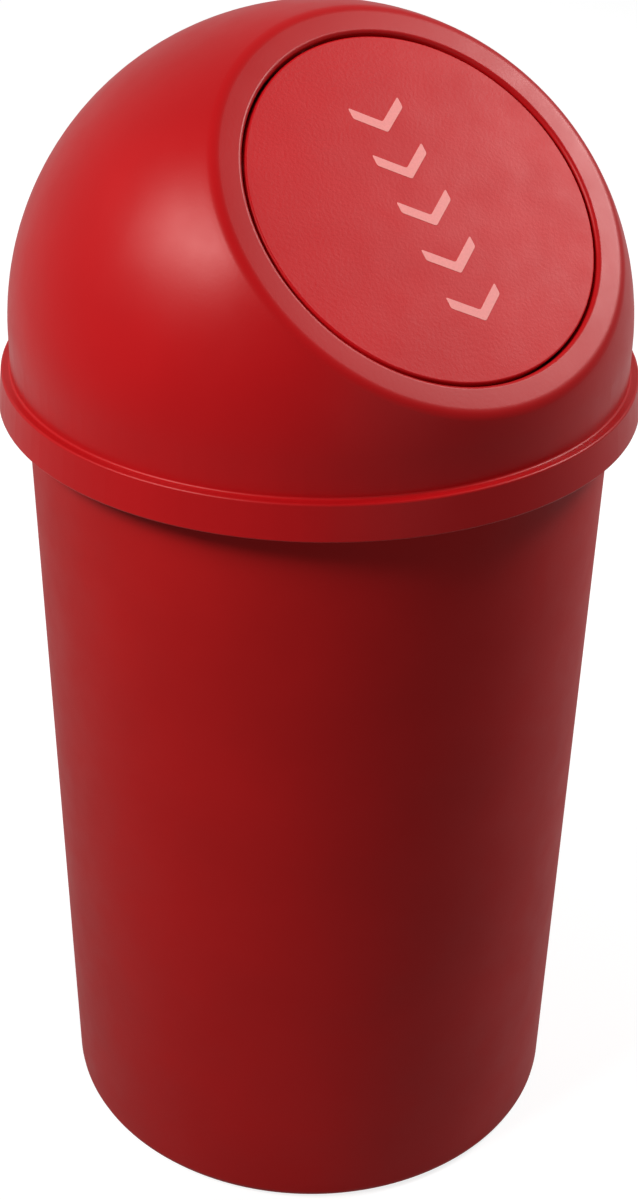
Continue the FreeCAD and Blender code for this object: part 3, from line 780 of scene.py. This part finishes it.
class WASTEBIN_OT_fittings(bpy.types.Operator):
    """Finish the hinge pins, their retainers, the counterweight with its caps and the stop pads"""
    bl_idname = "wastebin.fittings"
    bl_label = "Fittings"

    def execute(self, context):
        colours = context.scene.waste_bin.colours
        zinc = zinc_plate("Zinc-plated steel", colours.zinc)
        refinish(zinc, "hinge_pin_left", "hinge_pin_right", "pin_retainer_left", "pin_retainer_right",
                 "counterweight_bar")
        vinyl = soft_black("Dip-moulded vinyl", colours.vinyl, grain_mm=1.2, gloss=0.45)
        refinish(vinyl, "bar_cap_left", "bar_cap_right")
        rubber = soft_black("Cellular rubber", colours.rubber, grain_mm=0.5, gloss=0.8)
        refinish(rubber, "stop_pad_left", "stop_pad_right")
        return {"FINISHED"}


class WASTEBIN_OT_studio(bpy.types.Operator):
    """Set up the pale floor, the softboxes, the room's light and the camera"""
    bl_idname = "wastebin.studio"
    bl_label = "Studio"

    def execute(self, context):
        scene = context.scene
        settings = scene.waste_bin
        studio = settings.studio
        scene.view_settings.view_transform = "Standard"
        bpy.ops.object.select_all(action="DESELECT")
        bpy.ops.mesh.primitive_plane_add(size=FLOOR_SIZE)
        floor = name_new("studio_floor")
        floor.data.materials.append(self.paper(settings.colours.floor, studio))
        self.room(scene, studio)
        for name, stand in SOFTBOXES.items():
            self.softbox(name, *stand, getattr(studio, name))
        bpy.ops.object.camera_add(location=studio.camera_place, rotation=studio.camera_turn)
        camera = bpy.context.object
        camera.data.lens = studio.lens
        scene.camera = camera
        return {"FINISHED"}

    def seen(self, tree, mirrored):
        """1 for what the eye sees straight or through glass, less in a mirror, and 0 for the rest."""
        path = add_node(tree, "ShaderNodeLightPath").outputs
        straight = add_node(tree, "ShaderNodeMath",
                            {0: path["Is Camera Ray"], 1: path["Is Transmission Ray"]}, operation="ADD")
        level = add_node(tree, "ShaderNodeMath", {0: path["Is Glossy Ray"], 2: straight.outputs["Value"]},
                         {1: mirrored}, operation="MULTIPLY_ADD", use_clamp=True)
        return level.outputs["Value"]

    def paper(self, base, studio):
        """Matt white paper: dimmer near the bin, where the lamps add to it and its shadow falls."""
        material, tree, shader = new_finish("Matt white paper")
        shader.inputs["Base Color"].default_value = (*base, 1)
        shader.inputs["Roughness"].default_value = 0.9
        shader.inputs["Emission Color"].default_value = (1, 1, 1, 1)
        where = surface(tree)
        away = add_node(tree, "ShaderNodeVectorMath", {0: where}, {1: PAPER_SPOT}, operation="DISTANCE")
        glow = spread(tree, away.outputs["Value"], *PAPER_SPOT_REACH, studio.sweep, studio.sweep_near)
        out = add_node(tree, "ShaderNodeVectorMath", {0: where}, operation="LENGTH")
        far = spread(tree, out.outputs["Value"], *PAPER_FAR_REACH, studio.sweep_near, 1.0)
        level = add_node(tree, "ShaderNodeMath", {0: glow, 1: far}, operation="MAXIMUM")
        seen = self.seen(tree, studio.mirrored)
        shown = add_node(tree, "ShaderNodeMath", {0: level.outputs["Value"], 1: seen}, operation="MULTIPLY")
        tree.links.new(shown.outputs["Value"], shader.inputs["Emission Strength"])
        return material

    def room(self, scene, studio):
        """Weak light from all round, white where it is seen."""
        world = bpy.data.worlds.new("Studio room")
        scene.world = world
        world.use_nodes = True
        tree = world.node_tree
        back = tree.nodes["Background"]
        level = spread(tree, self.seen(tree, studio.mirrored), 0.0, 1.0, studio.room, 1.0)
        back.inputs["Color"].default_value = (1, 1, 1, 1)
        tree.links.new(level, back.inputs["Strength"])

    def softbox(self, name, azimuth, elevation, distance, size, watts):
        """Square lamp aimed at the bin from a compass angle and a height angle."""
        turn, rise = math.radians(azimuth), math.radians(elevation)
        away = Vector((math.sin(turn) * math.cos(rise), -math.cos(turn) * math.cos(rise), math.sin(rise)))
        bpy.ops.object.light_add(type="AREA", location=AIM + away * distance,
                                 rotation=(-away).to_track_quat("-Z", "Y").to_euler())
        lamp = name_new(name)
        lamp.data.size = size
        lamp.data.energy = watts


class WASTEBIN_PT_panel(bpy.types.Panel):
    """The bin's pieces, in the order in which they are made"""
    bl_idname = "WASTEBIN_PT_panel"
    bl_label = "Waste bin"
    bl_space_type = "VIEW_3D"
    bl_region_type = "UI"
    bl_category = "Waste bin"

    def draw(self, context):
        for step in STEPS:
            self.layout.operator(step.bl_idname)


SETTINGS = (TubSizes, HoodSizes, FlapSizes, FinishColours, StudioSizes, WasteBin)
STEPS = (WASTEBIN_OT_tub, WASTEBIN_OT_hood, WASTEBIN_OT_flap, WASTEBIN_OT_flap_mark,
         WASTEBIN_OT_fittings, WASTEBIN_OT_studio)


def register():
    for kind in (*SETTINGS, *STEPS, WASTEBIN_PT_panel):
        bpy.utils.register_class(kind)
    bpy.types.Scene.waste_bin = PointerProperty(type=WasteBin)


def unregister():
    del bpy.types.Scene.waste_bin
    for kind in reversed((*SETTINGS, *STEPS, WASTEBIN_PT_panel)):
        bpy.utils.unregister_class(kind)


def main():
    register()
    bpy.ops.wastebin.tub()
    bpy.ops.wastebin.hood()
    bpy.ops.wastebin.flap()
    bpy.ops.wastebin.flap_mark()
    bpy.ops.wastebin.fittings()
    bpy.ops.wastebin.studio()


if __name__ == "__main__":
    main()
